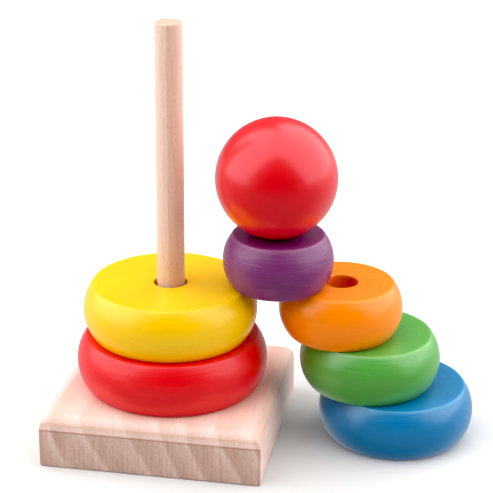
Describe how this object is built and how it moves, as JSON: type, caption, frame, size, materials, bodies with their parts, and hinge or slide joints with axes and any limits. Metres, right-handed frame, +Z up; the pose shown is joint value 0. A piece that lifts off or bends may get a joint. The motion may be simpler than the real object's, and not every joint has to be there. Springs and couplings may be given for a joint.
{
  "type": "stacking ring toy",
  "caption": "Wooden stacking toy: squarish base with a round post, painted bored rings partly stacked on it, partly in a stepped tower beside it, and a bored ball on top.",
  "frame": {"origin": "on the table under the base, on the axis of the post", "axes": "+Z up along the post; the base's sides run along X and Y; the loose tower stands towards +X"},
  "size_m": [0.1878, 0.1014, 0.193],
  "materials": {
    "base_wood": "satin",
    "post_wood": "satin",
    "zinc_steel": "satin",
    "red_paint": "gloss",
    "yellow_paint": "gloss",
    "blue_paint": "gloss",
    "green_paint": "gloss",
    "orange_paint": "gloss",
    "purple_paint": "gloss",
    "ball_paint": "gloss"
  },
  "bodies": {
    "base": {"base_block": "base_wood", "post": "post_wood", "post_screw": "zinc_steel"},
    "red": {"red_ring": "red_paint"},
    "yellow": {"yellow_ring": "yellow_paint"},
    "purple": {"purple_ring": "purple_paint"},
    "ball": {"red_ball": "ball_paint"},
    "blue": {"blue_ring": "blue_paint"},
    "green": {"green_ring": "green_paint"},
    "orange": {"orange_ring": "orange_paint"}
  },
  "joints": [
    {"name": "red_lift", "type": "slide", "parent": "base", "child": "red", "axis": [0, 0, 1], "range_m": [0, 0.175]},
    {"name": "yellow_lift", "type": "slide", "parent": "red", "child": "yellow", "axis": [0, 0, 1], "range_m": [0, 0.15]},
    {"name": "purple_lift", "type": "slide", "parent": "yellow", "child": "purple", "axis": [0, 0, 1], "range_m": [0, 0.12]},
    {"name": "ball_lift", "type": "slide", "parent": "purple", "child": "ball", "axis": [0, 0, 1], "range_m": [0, 0.15]},
    {"name": "blue_slide", "type": "slide", "parent": "base", "child": "blue", "axis": [1, 0, 0], "range_m": [0, 0.1]},
    {"name": "green_slide", "type": "slide", "parent": "blue", "child": "green", "axis": [1, 0, 0], "range_m": [0, 0.035]},
    {"name": "orange_slide", "type": "slide", "parent": "green", "child": "orange", "axis": [1, 0, 0], "range_m": [0, 0.035]}
  ]
}
